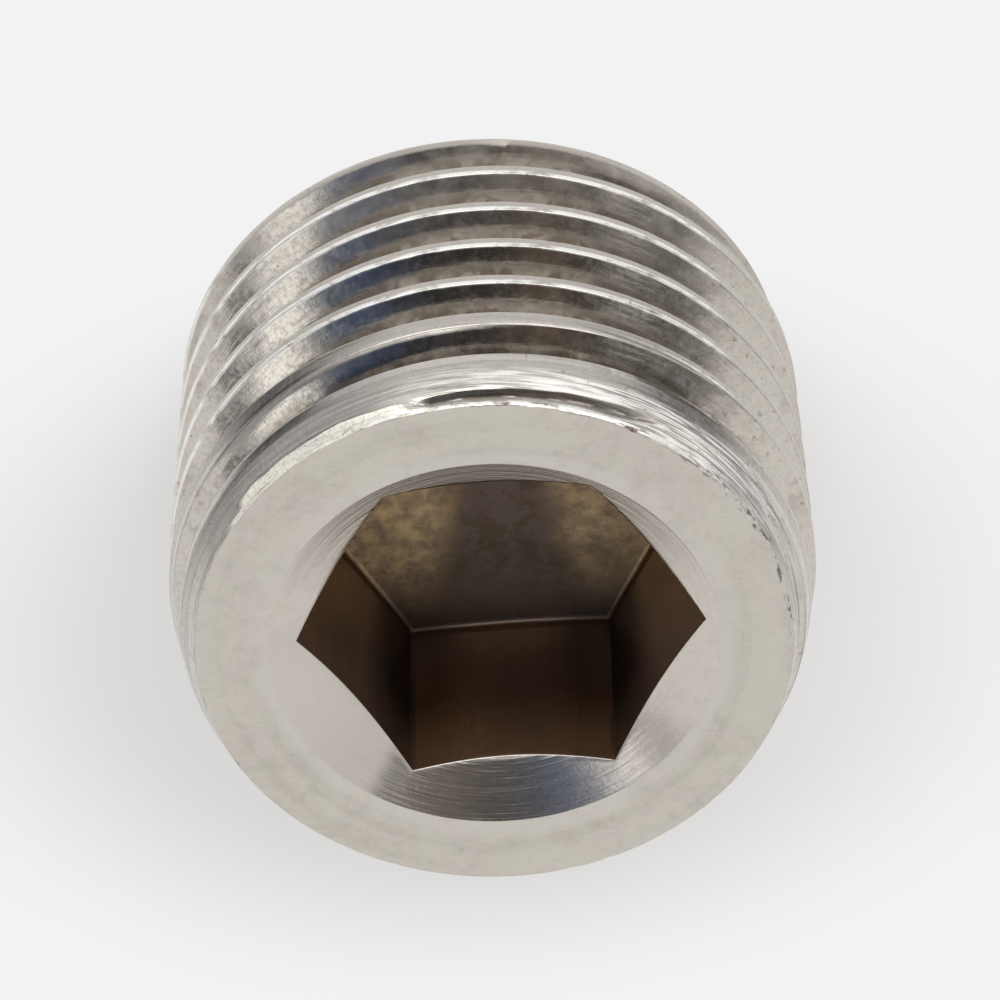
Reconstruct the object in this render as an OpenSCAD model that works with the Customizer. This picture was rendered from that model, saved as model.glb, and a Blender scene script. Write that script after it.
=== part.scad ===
// Hexagon socket pipe plug: a headless plug with a taper pipe thread, R 1/4 size.
// It stands on its nose, the small end of the taper. +Z runs up the plug's axis to the
// socket, two corners of the hexagon point along the X axis, and the origin is the centre
// of the nose face. Millimetres.

/* [Blank] */
// Major diameter of the thread in its gauge plane
gauge_d = 13.157; // [11:0.001:16]
// Height of the gauge plane above the nose face
gauge_len = 6; // [4:0.1:8]
// Length over both end faces
plug_len = 10; // [8:0.1:16]
// Length of taper in which the diameter grows by one millimetre
taper_ratio = 16; // [10:1:30]
// Width of the chamfer at the socket face, across the axis
face_chamfer_w = 0.3; // [0.1:0.02:0.6]
// Length of the chamfer at the socket face, along the axis
face_chamfer_len = 0.75; // [0.3:0.05:1.4]
// Width of the shoulder between that chamfer and the taper, across the axis
shoulder_w = 0.275; // [0.05:0.005:0.5]
// Length of that shoulder, along the axis
shoulder_len = 1.45; // [0.5:0.05:2]
// Width of the chamfer at the nose, across the axis
nose_chamfer_w = 0.98; // [0.5:0.02:1.4]
// Length of the chamfer at the nose, along the axis
nose_chamfer_len = 1.3; // [0.5:0.05:2]

/* [Thread] */
// Threads per inch
tpi = 19; // [16:1:24]
// Angle between the two flanks
flank_angle = 55; // [50:1:60]
// Width of the flat left on the crests, as a share of the pitch
crest_share = 0.2; // [0.14:0.01:0.24]
// Depth of the full thread, as a share of the pitch
depth_share = 0.64; // [0.5:0.01:0.66]
// Direction in which the groove's centre line crosses the nose face, in degrees from X
start_dir = 152; // [0:1:359]
// Length under the socket face over which the groove runs out
runout_len = 2.1; // [0.5:0.1:3]
// Height that the groove rises by over that length, as a share of its full depth
runout_rise = 0.6; // [0.3:0.05:0.9]

/* [Hexagon socket] */
// Width across the flats of the hexagon
key_w = 7.2; // [5:0.05:8.7]
// Depth of the hexagon's corners below the socket face
key_depth = 5.05; // [3:0.05:6.5]
// Distance of the hexagon's centre from the plug's axis, as the punch left it
key_runout = 0.24; // [0:0.02:0.3]
// Direction of that distance, in degrees from the X axis
key_runout_dir = 230; // [0:5:355]
// Slope of the socket's floor, from its corners down to its centre
floor_slope = 10; // [2:1:31]
// Width of the countersink outside the hexagon's corners
sink_margin = 0.44; // [0.3:0.02:0.6]
// Full angle of the countersink
sink_angle = 120; // [100:1:140]

/* [Hidden] */
steel = "#b9b4aa";
turn_fn = 96; // sides of a turned surface
groove_fn = 48; // rings of the groove in one turn
past = 0.1; // how far a cut runs past the surface that it opens

pitch = 25.4 / tpi;
half_angle = flank_angle / 2;
thread_depth = depth_share * pitch;
groove_half_w = (1 - crest_share) * pitch / 2; // at the crests
vee_depth = groove_half_w / tan(half_angle); // to where the two flanks would meet
root_radius = (vee_depth - thread_depth) / (1 / sin(half_angle) - 1);
flank_depth = thread_depth - root_radius * (1 - sin(half_angle)); // to the root's rounding

key_corner_r = key_w / 2 / cos(30);
key_offset = key_runout * [cos(key_runout_dir), sin(key_runout_dir), 0];
floor_z = plug_len - key_depth;
dish = key_corner_r * tan(floor_slope);
sink_r = key_corner_r + sink_margin;
sink_depth = sink_r / tan(sink_angle / 2);

// Radius of the crests at height z
function crest_r(z) = (gauge_d + (z - gauge_len) / taper_ratio) / 2;

// Height that the groove has risen by at height z, as the die lets go of the blank
function groove_rise(z) =
    thread_depth * runout_rise * max(0, z - plug_len + runout_len) / runout_len;

// The groove's section at height z, as radius and distance along the axis
function groove_section(z) =
    let (r = crest_r(z) + groove_rise(z), mouth_w = groove_half_w + past * tan(half_angle),
         root_w = groove_half_w - flank_depth * tan(half_angle))
    [[r + past, -mouth_w], [r + past, mouth_w], [r - flank_depth, root_w],
     [r - thread_depth, 0], [r - flank_depth, -root_w]];

// The blank as it comes off the lathe: a taper at crest height between a nose chamfer
// and a shoulder that narrows to the chamfer of the socket face
module blank() {
    nose_z = nose_chamfer_len;
    face_z = plug_len - face_chamfer_len;
    shoulder_z = face_z - shoulder_len;
    neck_r = crest_r(shoulder_z) - shoulder_w;
    rotate_extrude($fn = turn_fn)
        polygon([
            [0, 0],
            [crest_r(nose_z) - nose_chamfer_w, 0],
            [crest_r(nose_z), nose_z],
            [crest_r(shoulder_z), shoulder_z],
            [neck_r, face_z],
            [neck_r - face_chamfer_w, plug_len],
            [0, plug_len]
        ]);
}

// The thread's groove: one skin, swept up a right-hand helix from below the nose
// to above the socket face
module thread_groove() {
    first = -groove_fn;
    last = ceil((plug_len / pitch + 1) * groove_fn);
    sides = 5;
    rings = [for (i = [first : last])
        let (z = i * pitch / groove_fn, a = start_dir + i * 360 / groove_fn)
        [for (p = groove_section(z)) [p[0] * cos(a), p[0] * sin(a), z + p[1]]]];
    start_cap = [for (j = [sides - 1 : -1 : 0]) j];
    end_cap = [for (j = [0 : sides - 1]) (last - first) * sides + j];
    walls = [for (i = [0 : last - first - 1]) for (j = [0 : sides - 1])
        let (a = i * sides + j, b = i * sides + (j + 1) % sides)
        each [[a, b, a + sides], [b, b + sides, a + sides]]];
    polyhedron([for (ring = rings) each ring], concat([start_cap], walls, [end_cap]));
}

// The punched hexagon, with its floor dished towards the centre
module hexagon() {
    intersection() {
        translate([0, 0, floor_z - 2 * dish])
            cylinder(r = key_corner_r, h = key_depth + 2 * dish + past, $fn = 6);
        rotate_extrude($fn = turn_fn)
            polygon([
                [0, floor_z - dish],
                [key_corner_r, floor_z],
                [2 * key_corner_r, floor_z + dish],
                [2 * key_corner_r, plug_len + 2 * past],
                [0, plug_len + 2 * past]
            ]);
    }
}

// The countersink that leads the key in, turned on the plug's own axis
module countersink() {
    slope = tan(sink_angle / 2);
    rotate_extrude($fn = turn_fn)
        polygon([
            [0, plug_len - sink_depth],
            [sink_r + past * slope, plug_len + past],
            [0, plug_len + past]
        ]);
}

module pipe_plug() {
    color(steel)
        difference() {
            blank();
            thread_groove();
            translate(key_offset)
                hexagon();
            countersink();
        }
}

pipe_plug();
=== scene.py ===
"""Looks of a hexagon socket pipe plug, laid out as a Blender add-on.

The plug stands on its nose at the origin, with the socket up. Its skin is one closed mesh:
Geometry Nodes wind the thread, and mesh code adds the two ends and the socket.
"""

import math

import bmesh
import bpy
from mathutils import Matrix, Vector, noise


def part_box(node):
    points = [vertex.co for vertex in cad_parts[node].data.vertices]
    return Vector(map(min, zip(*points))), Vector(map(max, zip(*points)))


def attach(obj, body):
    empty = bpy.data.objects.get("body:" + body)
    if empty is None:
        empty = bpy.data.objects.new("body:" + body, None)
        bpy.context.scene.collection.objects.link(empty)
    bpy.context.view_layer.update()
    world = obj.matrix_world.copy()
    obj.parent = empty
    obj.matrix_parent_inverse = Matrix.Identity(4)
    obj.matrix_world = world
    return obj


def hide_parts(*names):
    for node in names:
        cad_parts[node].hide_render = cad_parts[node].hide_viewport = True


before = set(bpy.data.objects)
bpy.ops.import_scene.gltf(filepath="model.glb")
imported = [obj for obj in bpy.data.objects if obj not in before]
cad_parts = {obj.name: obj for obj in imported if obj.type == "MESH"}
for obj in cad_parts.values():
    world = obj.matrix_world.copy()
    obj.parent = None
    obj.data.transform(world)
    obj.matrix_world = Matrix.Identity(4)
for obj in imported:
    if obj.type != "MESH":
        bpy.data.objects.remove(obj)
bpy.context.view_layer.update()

bl_info = {
    "name": "Hexagon socket pipe plug",
    "version": (1, 0, 0),
    "blender": (4, 5, 0),
    "location": "View3D > Sidebar > Pipe plug",
    "description": "Builds a taper pipe plug of turned stainless steel and its studio",
    "category": "Add Mesh",
}

NODE = "pipe_plug"
BODY = "root"
MM = 0.001
LOW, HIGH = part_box(NODE)

MERGE = 0.0008 * MM  # points of the skin that are closer than this become one
SLIVER = 0.0004 * MM  # edges that are shorter than this are dissolved
EDGE_STEP = 0.03 * MM  # from a crest's round edge to the first row of its flank
EDGE_NEAR = 0.001 * MM  # how near to a height a point of the skin's open edge lies
SHARP = math.radians(60)  # a steeper edge isn't shaded smooth
BURR = 0.009 * MM  # most that wear takes off a crest's edge
BURR_W = 0.05 * MM  # how far that reaches to either side of the edge
BURR_SEED = 4
FLOOR_FILLET = 0.12 * MM  # between the socket's walls and its floor
COLLAR_FADE = 0.3 * MM  # length over which the collar's rings take up the skin's edge
COLLAR_STEPS = (0.49, 0.44, 0.4, 0.37, 0.34, 0.315, 0.29, 0.265, 0.24, 0.215, 0.19, 0.165,
                0.14, 0.115, 0.09, 0.065, 0.045)  # below the socket face, in millimetres


# ---------------------------------------------------------------- node trees

def joins(operation):
    """A method of Wire that adds one Math node."""
    return lambda self, *others: self.math(operation, *others)


class Wire:
    """An output socket of a node tree. Sums on it add Math nodes to the tree."""

    __add__ = __radd__ = joins("ADD")
    __sub__ = joins("SUBTRACT")
    __mul__ = __rmul__ = joins("MULTIPLY")
    __truediv__ = joins("DIVIDE")
    __lt__ = joins("LESS_THAN")
    __gt__ = joins("GREATER_THAN")
    least = joins("MINIMUM")
    most = joins("MAXIMUM")
    size = joins("ABSOLUTE")
    power = joins("POWER")

    def __init__(self, tree, socket):
        self.tree = tree
        self.socket = socket

    def math(self, operation, *others):
        values = dict(enumerate((self, *others)))
        return self.tree.add("ShaderNodeMath", {"operation": operation}, values)

    def __rsub__(self, other):
        return self.tree.value(other).math("SUBTRACT", self)

    def __rtruediv__(self, other):
        return self.tree.value(other).math("DIVIDE", self)

    def __neg__(self):
        return self.math("MULTIPLY", -1.0)

    def reach(self, other):
        """Length of the line whose two legs are on two wires."""
        return (self * self + other * other).power(0.5)

    def wrapped(self, high):
        return self.math("WRAP", high, 0.0)

    def ramp(self, low, high, to_low=0.0, to_high=1.0):
        """A smooth step from low to high."""
        sockets = {"Value": self, "From Min": low, "From Max": high,
                   "To Min": to_low, "To Max": to_high}
        return self.tree.add("ShaderNodeMapRange", {"interpolation_type": "SMOOTHSTEP"}, sockets)

    def band(self, start, full, fading, end):
        """1 from full to fading, and 0 before start and past end."""
        return self.ramp(start, full) * self.ramp(end, fading)


class Tree:
    """A node tree that is being built. add() makes any node and gives one of its outputs."""

    def __init__(self, node_tree):
        self.node_tree = node_tree

    @staticmethod
    def pick(sockets, key):
        if isinstance(key, int):
            return sockets[key]
        for socket in sockets:
            if socket.identifier == key:
                return socket
        return next(s for s in sockets if s.name == key and s.enabled)

    def node(self, kind, settings=None, sockets=None):
        made = self.node_tree.nodes.new(kind)
        settings = dict(settings or {})
        stops = settings.pop("stops", None)
        for name, value in settings.items():
            setattr(made, name, value)
        if stops:
            self.fill_ramp(made.color_ramp, stops)
        for key, value in (sockets or {}).items():
            socket = self.pick(made.inputs, key)
            if isinstance(value, Wire):
                self.node_tree.links.new(value.socket, socket)
            else:
                socket.default_value = value
        return made

    @staticmethod
    def fill_ramp(ramp, stops):
        while len(ramp.elements) < len(stops):
            ramp.elements.new(1.0)
        for element, (place, colour) in zip(ramp.elements, stops):
            element.position = place
            element.color = colour

    def add(self, kind, settings=None, sockets=None, output=0):
        made = self.node(kind, settings, sockets)
        return Wire(self, self.pick(made.outputs, output))

    def value(self, number):
        wire = self.add("ShaderNodeValue")
        wire.socket.default_value = number
        return wire

    def split(self, vector):
        made = self.node("ShaderNodeSeparateXYZ", None, {0: vector})
        return [Wire(self, socket) for socket in made.outputs]

    def vector(self, x, y, z):
        return self.add("ShaderNodeCombineXYZ", None, {0: x, 1: y, 2: z})

    def millimetres(self):
        """Object coordinates in millimetres."""
        metres = self.add("ShaderNodeTexCoord", output="Object")
        return self.add("ShaderNodeVectorMath", {"operation": "SCALE"},
                        {0: metres, "Scale": 1 / MM})

    def noise(self, vector, scale, detail=2.0, roughness=0.5, distortion=0.0):
        sockets = {"Vector": vector, "Scale": scale, "Detail": detail,
                   "Roughness": roughness, "Distortion": distortion}
        return self.add("ShaderNodeTexNoise", {"noise_dimensions": "3D"}, sockets)

    def blend(self, factor, first, second):
        """A colour between two colours."""
        sockets = {"Factor_Float": factor, "A_Color": first, "B_Color": second}
        return self.add("ShaderNodeMix", {"data_type": "RGBA"}, sockets, "Result_Color")


def emptied(owner):
    """The node tree of a material or a world, with nothing in it."""
    owner.use_nodes = True
    owner.node_tree.nodes.clear()
    return owner.node_tree


def placed(name, data):
    """A new object in the scene."""
    made = bpy.data.objects.new(name, data)
    bpy.context.scene.collection.objects.link(made)
    return made


# ---------------------------------------------------------------- sizes

def length(name, description, millimetres):
    return bpy.props.FloatProperty(
        name=name, description=description, default=millimetres * MM, unit="LENGTH",
        precision=5)


def number(name, description, default):
    return bpy.props.FloatProperty(name=name, description=description, default=default)


def whole(name, description, default):
    return bpy.props.IntProperty(name=name, description=description, default=default)


def angle(name, description, degrees):
    return bpy.props.FloatProperty(
        name=name, description=description, default=math.radians(degrees),
        subtype="ANGLE")


def colour(name, description, default):
    return bpy.props.FloatVectorProperty(
        name=name, description=description, default=default, subtype="COLOR",
        min=0.0, max=1.0)


class PlugSizes(bpy.types.PropertyGroup):
    """Sizes of the plug. The frame gives its length and its greatest diameter."""

    plug_len: length("Length", "Over both end faces", (HIGH.z - LOW.z) / MM)
    gauge_d: length("Gauge diameter", "Over the crests, in the gauge plane", 13.157)
    gauge_len: length("Gauge length", "Of the gauge plane above the nose face", 6)
    taper: number("Taper", "Growth of the radius for each unit of length", 1 / 32)
    crest_wear: length("Crest wear", "Height that handling has taken off the crests", 0.008)
    face_chamfer_w: length("Face chamfer width", "Across the axis", 0.3)
    face_chamfer_len: length("Face chamfer length", "Along the axis", 0.75)
    shoulder_w: length("Shoulder width", "Across the axis, below the face chamfer", 0.275)
    shoulder_len: length("Shoulder length", "Along the axis", 1.45)
    nose_chamfer_w: length("Nose chamfer width", "Across the axis", 0.98)
    nose_chamfer_len: length("Nose chamfer length", "Along the axis", 1.3)
    mouth_round: length("Mouth rounding", "Of the hexagon's edges under the countersink", 0.014)
    rim_round: length("Rim rounding", "Height of the torn edge round the socket face", 0.035)
    pitch: length("Pitch", "Of the 19 threads per inch", 25.4 / 19)
    flank_angle: angle("Flank angle", "Between the two flanks", 55)
    crest_share: number("Crest share", "Flat on the crests, as a share of the pitch", 0.2)
    depth_share: number("Depth share", "Depth of thread, as a share of the pitch", 0.64)
    crest_round: length("Crest rounding", "Radius of the crests' two edges", 0.035)
    start_dir: angle("Thread start", "Where the groove crosses the nose face", 152)
    runout_len: length("Run-out length", "Under the socket face", 2.1)
    runout_rise: number("Run-out rise", "Rise of the groove there, as a share of its depth", 0.6)
    collar_len: length("Collar length", "Of the part under the face that is built in rings", 0.55)
    scar_depth: length("Scar depth", "Where the threading tool bit in once more", 0.165)
    scar_below: length("Scar place", "Below the socket face, in the scar's middle", 0.387)
    scar_dir: angle("Scar direction", "Middle of the scar", 262.7)
    ledge_w: length("Ledge width", "Of metal pushed up beside the scar's end", 0.19)
    ledge_dir: angle("Ledge direction", "Middle of the ledge", 300)
    key_w: length("Key width", "Across the hexagon's flats", 7.2)
    key_depth: length("Key depth", "Of the hexagon's corners", 5.05)
    key_runout: length("Key run-out", "Of the hexagon from the plug's axis", 0.24)
    key_runout_dir: angle("Key run-out direction", "From the X axis", 230)
    floor_slope: angle("Floor slope", "Of the dished floor of the socket", 10)
    sink_margin: length("Sink margin", "Countersink outside the corners", 0.44)
    sink_angle: angle("Sink angle", "Full angle of the countersink", 120)
    columns: whole("Columns", "Faces round one turn, a multiple of six", 288)


class StudioSizes(bpy.types.PropertyGroup):
    """Where the camera and the lamp stand, and how the floor looks."""

    lens: length("Lens", "Focal length for a sensor 36 mm wide", 324)
    distance: length("Distance", "From the camera to the point that it looks at", 182.14)
    azimuth: angle("Azimuth", "Of the camera, from the -Y side", -3.25)
    elevation: angle("Elevation", "Of the camera above the floor", 52.91)
    roll: angle("Roll", "Of the camera about its line of sight", 178.7)
    aim: bpy.props.FloatVectorProperty(
        name="Aim", description="Point that the camera looks at", subtype="TRANSLATION",
        default=(-0.319 * MM, -2.329 * MM, 8.228 * MM), precision=5)
    floor_size: length("Floor size", "Edge of the square floor", 1200)
    floor_colour: colour("Floor colour", "Of the pale floor", (0.86, 0.86, 0.86))
    floor_glow: number("Floor glow", "Share of plain background beside the plug", 0.2)
    far_glow: number("Far glow", "Share of plain background away from the plug", 1.0)
    # Painted reflection: the flags are dark patches on the floor that only glossy rays see.
    painted_flag_share: number("Flag share", "How dark the flags beside the plug are", 0.95)
    room_turn: angle("Room turn", "Of the room about the plug's axis", 4.29)
    key_size: length("Key lamp size", "Width of the soft key lamp", 1300)
    key_power: number("Key lamp power", "In watts", 4.6)


# ---------------------------------------------------------------- plug: its form in numbers

class Form:
    """Radii and heights worked out from the plug's sizes, in metres."""

    def __init__(self, sizes):
        s = self.s = sizes
        self.half_angle = s.flank_angle / 2
        self.thread_depth = s.depth_share * s.pitch
        self.groove_half_w = (1 - s.crest_share) * s.pitch / 2
        vee_depth = self.groove_half_w / math.tan(self.half_angle)
        sine = math.sin(self.half_angle)
        self.root_radius = (vee_depth - self.thread_depth) / (1 / sine - 1)
        self.flank_depth = self.thread_depth - self.root_radius * (1 - sine)
        self.root_half_w = self.root_radius * math.cos(self.half_angle)
        self.edge_turn = math.pi / 2 - self.half_angle
        self.edge_w = s.crest_round * math.tan(self.edge_turn / 2)
        self.face_z = s.plug_len - s.face_chamfer_len
        self.shoulder_z = self.face_z - s.shoulder_len
        self.neck_r = self.crest_r(self.shoulder_z) - s.shoulder_w
        self.face_r = self.neck_r - s.face_chamfer_w
        self.top_z = s.plug_len - s.collar_len
        self.nose_r = self.crest_r(s.nose_chamfer_len) - s.nose_chamfer_w
        self.face_slope = s.face_chamfer_w / s.face_chamfer_len
        self.shoulder_slope = s.shoulder_w / s.shoulder_len
        self.nose_slope = s.nose_chamfer_w / s.nose_chamfer_len
        self.key_corner_r = s.key_w / 2 / math.cos(math.pi / 6)
        self.key_centre = Vector((s.key_runout * math.cos(s.key_runout_dir),
                                  s.key_runout * math.sin(s.key_runout_dir)))
        self.floor_z = s.plug_len - s.key_depth
        self.sink_r = self.key_corner_r + s.sink_margin
        self.sink_slope = 1 / math.tan(s.sink_angle / 2)

    def crest_r(self, z):
        return self.s.gauge_d / 2 + (z - self.s.gauge_len) * self.s.taper

    def sink_z(self, radius):
        return self.s.plug_len - max(0.0, self.sink_r - radius) * self.sink_slope

    def dish_z(self, radius):
        return self.floor_z - (self.key_corner_r - radius) * math.tan(self.s.floor_slope)

    def hexagon_r(self, turn):
        """Distance from the hexagon's centre to its outline in one direction."""
        side = math.pi / 3
        return self.s.key_w / 2 / math.cos((turn % side) - side / 2)


def thread_rows(form):
    """Rows of the skin over one pitch, from crest to crest: (along the axis, drop)."""
    s = form.s
    edge = form.groove_half_w + form.edge_w
    points = [(-s.pitch / 2 + (s.pitch / 2 - edge) * share, 0.0)
              for share in (0.0, 0.4, 0.75, 0.93)]
    for step in range(4):
        swept = form.edge_turn * step / 3
        points.append((-edge + s.crest_round * math.sin(swept),
                       s.crest_round * (1 - math.cos(swept))))
    first_drop = points[-1][1] + EDGE_STEP
    for step in range(4):
        drop = first_drop + (form.flank_depth - first_drop) * step / 4
        points.append((-form.groove_half_w + drop * math.tan(form.half_angle), drop))
    for step in range(4):
        swept = (math.pi / 2 - form.half_angle) * (1 - step / 3)
        points.append((-form.root_radius * math.sin(swept),
                       form.thread_depth - form.root_radius * (1 - math.cos(swept))))
    mirrored = [(-along, drop) for along, drop in reversed(points[:-1])]
    return points + mirrored


def rows_mesh(form):
    """The thread's rows as a line of points that the node tree winds into a skin."""
    mesh = bpy.data.meshes.new("thread_rows")
    points = [(along, drop, 0.0) for along, drop in thread_rows(form)]
    mesh.from_pydata(points, [(i, i + 1) for i in range(len(points) - 1)], [])
    return mesh, len(points)


# ---------------------------------------------------------------- plug: the wound skin

def skin_sizes(form):
    """What the node tree is told of the thread and of the outline that trims it."""
    s = form.s
    return {
        "Pitch": s.pitch, "Start": s.start_dir, "Length": s.plug_len, "Top": form.top_z,
        "Gauge radius": s.gauge_d / 2, "Gauge length": s.gauge_len, "Taper": s.taper,
        "Wear": s.crest_wear, "Groove half width": form.groove_half_w,
        "Groove depth": form.thread_depth, "Flank depth": form.flank_depth,
        "Flank tangent": math.tan(form.half_angle), "Root radius": form.root_radius,
        "Root half width": form.root_half_w, "Edge radius": s.crest_round,
        "Edge width": form.edge_w, "Edge reach": s.crest_round * math.sin(form.edge_turn),
        "Run-out length": s.runout_len, "Run-out rise": s.runout_rise * form.thread_depth,
        "Face radius": form.face_r, "Face slope": form.face_slope,
        "Neck radius": form.neck_r, "Face height": form.face_z,
        "Shoulder slope": form.shoulder_slope, "Nose radius": form.nose_r,
        "Nose slope": form.nose_slope, "Burr": BURR}


def skin_counts(form):
    """Its whole numbers. The grid starts half a turn early and ends half a turn late."""
    s = form.s
    start_turns = s.start_dir / math.tau
    first = math.floor((start_turns - 0.5) * s.columns)
    last = math.ceil((start_turns + form.top_z / s.pitch + 0.5) * s.columns)
    return {"Columns": s.columns, "Grid columns": last - first + 1, "First column": first,
            "Seed": BURR_SEED}


def skin_group(sizes, counts):
    """An empty node group with one input for each size and each count."""
    group = bpy.data.node_groups.new("threaded_skin", "GeometryNodeTree")
    kinds = {"Geometry": "Geometry", **dict.fromkeys(sizes, "Float"),
             **dict.fromkeys(counts, "Int"), "Steel": "Material"}
    for name, kind in kinds.items():
        group.interface.new_socket(name, in_out="INPUT", socket_type="NodeSocket" + kind)
    group.interface.new_socket("Geometry", in_out="OUTPUT", socket_type="NodeSocketGeometry")
    return group


def flat_grid(tree, given, rows):
    """A flat grid, and the column and the row that each of its points belongs to."""
    wide = given["Grid columns"] - 1.0
    grid = tree.add("GeometryNodeMeshGrid", None, {
        "Size X": wide, "Size Y": rows - 1.0, "Vertices X": given["Grid columns"],
        "Vertices Y": rows}, "Mesh")
    x, y, _ = tree.split(tree.add("GeometryNodeInputPosition"))
    column = (x + wide / 2.0).math("ROUND") + given["First column"]
    return grid, column, (y + (rows - 1) / 2).math("ROUND")


def row_form(tree, given, row):
    """A row's place along the axis and its drop below the crests."""
    sampled = tree.add("GeometryNodeSampleIndex",
                       {"data_type": "FLOAT_VECTOR", "domain": "POINT"},
                       {"Geometry": given["Geometry"], "Index": row,
                        "Value": tree.add("GeometryNodeInputPosition")})
    return tree.split(sampled)[:2]


def groove_rise(given, centre):
    """Rise of the groove whose centre line runs at one height."""
    gone = (centre - given["Length"] + given["Run-out length"]).most(0.0)
    return gone / given["Run-out length"] * given["Run-out rise"]


def drawn_in(given, along, row_drop, rise):
    """A row's place along the axis once the rise has made the groove narrower."""
    half_pitch = given["Pitch"] / 2.0
    on_crest = (half_pitch - along.size()) / (half_pitch - given["Groove half width"])
    on_flank = 1.0 - (row_drop / given["Flank depth"]).least(1.0)
    inwards = rise * given["Flank tangent"] * on_crest.least(on_flank)
    return along.math("SIGN") * (along.size() - inwards)


def groove_drop(given, across, rise):
    """Depth of the groove under the crests at a distance across it, with round edges."""
    half_w = given["Groove half width"] - rise * given["Flank tangent"]
    flank = (half_w - across) / given["Flank tangent"]
    root_square = given["Root radius"].power(2.0) - across.power(2.0)
    root = given["Groove depth"] - rise - given["Root radius"] + root_square.most(0.0).power(0.5)
    in_root = across < given["Root half width"]
    deep = flank + (root - flank) * in_root
    from_edge = half_w + given["Edge width"] - across
    edge_square = given["Edge radius"].power(2.0) - from_edge.power(2.0)
    edge = given["Edge radius"] - edge_square.most(0.0).power(0.5)
    on_edge = from_edge < given["Edge reach"]
    return (deep + (edge - deep) * on_edge) * (from_edge > 0.0), from_edge


def burr_cut(tree, given, turn, height, from_edge):
    """What burrs take off the crests' edges. They never add metal."""
    spot = tree.vector(turn.math("COSINE") * 6.0, turn.math("SINE") * 6.0,
                       height / MM + given["Seed"])
    coarse = tree.noise(spot, 1.6, 1.0, 0.6)
    fine = tree.noise(spot, 5.0, 0.0, 0.5)
    ragged = coarse.ramp(0.4, 0.65) * fine.ramp(0.35, 0.65) + 0.08
    edge_share = 1.0 - ((from_edge - given["Edge reach"] * 0.6) / BURR_W).size()
    return edge_share.most(0.0) * ragged * given["Burr"]


def trimmed(given, radius, height):
    """A radius kept inside the face chamfer, the shoulder and the nose chamfer."""
    face = given["Face radius"] + (given["Length"] - height) * given["Face slope"]
    neck = given["Neck radius"] + (given["Face height"] - height) * given["Shoulder slope"]
    nose = given["Nose radius"] + height * given["Nose slope"]
    return radius.least(face).least(neck).least(nose)


def skin_tree(sizes, counts, rows):
    """A node tree that winds the rows into the thread and trims it at the blank's outline."""
    group = skin_group(sizes, counts)
    tree = Tree(group)
    source = tree.node("NodeGroupInput")
    given = {socket.name: Wire(tree, socket) for socket in source.outputs if socket.name}
    grid, column, row = flat_grid(tree, given, rows)
    along, row_drop = row_form(tree, given, row)
    turns = column / given["Columns"]
    turn = turns * math.tau
    centre = (turns - given["Start"] / math.tau) * given["Pitch"]
    rise = groove_rise(given, centre)
    along = drawn_in(given, along, row_drop, rise)
    height = (centre + along).most(0.0).least(given["Top"])
    drop, from_edge = groove_drop(given, (height - centre).size(), rise)
    crest = given["Gauge radius"] + (height - given["Gauge length"]) * given["Taper"]
    cut = burr_cut(tree, given, turn, height, from_edge)
    radius = trimmed(given, crest - drop - given["Wear"] - cut, height)
    place = tree.vector(radius * turn.math("COSINE"), radius * turn.math("SINE"), height)
    skin = grid
    for kind, sockets in (("SetPosition", {"Position": place}),
                          ("MergeByDistance", {"Distance": MERGE}), ("SetShadeSmooth", {}),
                          ("RealizeInstances", {}), ("SetMaterial", {"Material": given["Steel"]})):
        skin = tree.add("GeometryNode" + kind, None, {"Geometry": skin, **sockets})
    tree.node("NodeGroupOutput", None, {"Geometry": skin})
    return group


def set_inputs(modifier, values):
    """Fills a Geometry Nodes modifier's inputs by their sockets' identifiers."""
    for item in modifier.node_group.interface.items_tree:
        if item.in_out == "INPUT" and item.name in values:
            modifier[item.identifier] = values[item.name]


def threaded_skin(form, steel):
    """The outside of the plug between its two end faces, as a plain mesh."""
    line, rows = rows_mesh(form)
    holder = placed("thread_rows", line)
    modifier = holder.modifiers.new("threaded_skin", "NODES")
    sizes, counts = skin_sizes(form), skin_counts(form)
    modifier.node_group = skin_tree(sizes, counts, rows)
    set_inputs(modifier, {**sizes, **counts, "Steel": steel})
    evaluated = holder.evaluated_get(bpy.context.evaluated_depsgraph_get())
    mesh = bpy.data.meshes.new_from_object(evaluated)
    holder.modifiers.remove(modifier)
    bpy.data.objects.remove(holder)
    return mesh


# ---------------------------------------------------------------- plug: its ends and its socket

def ring_points(form, place):
    """Points round the axis at the skin's own columns. place gives (x, y, z) for a turn."""
    count = form.s.columns
    return [place(math.tau * i / count) for i in range(count)]


def next_ring(form, ring, place):
    """A ring made from another. place gives (radius, z) for a point's turn, radius and z."""
    made = []
    for i, (x, y, z) in enumerate(ring):
        turn = math.tau * i / form.s.columns
        radius, height = place(turn, math.hypot(x, y), z)
        made.append((radius * math.cos(turn), radius * math.sin(turn), height))
    return made


def circle(form, radius, z):
    return ring_points(form, lambda turn: (radius * math.cos(turn),
                                           radius * math.sin(turn), z))


def skin_edge(form, shell, z):
    """The skin's open edge at height z: one point for each column, in their order."""
    count = form.s.columns
    edge = {}
    for vert in shell.verts:
        if abs(vert.co.z - z) < EDGE_NEAR and vert.is_boundary:
            vert.co.z = z
            turn = math.atan2(vert.co.y, vert.co.x) % math.tau
            edge[round(turn / math.tau * count) % count] = tuple(vert.co)
    if len(edge) != count:
        raise RuntimeError(f"the skin's edge has {len(edge)} points instead of {count}")
    return [edge[i] for i in range(count)]


def nearness(turn, middle, half_w, soft):
    """1 within half_w of one direction, falling to 0 over soft more, all in degrees."""
    off = abs((math.degrees(turn - middle) + 180) % 360 - 180)
    return min(1.0, max(0.0, (half_w + soft - off) / soft))


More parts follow.
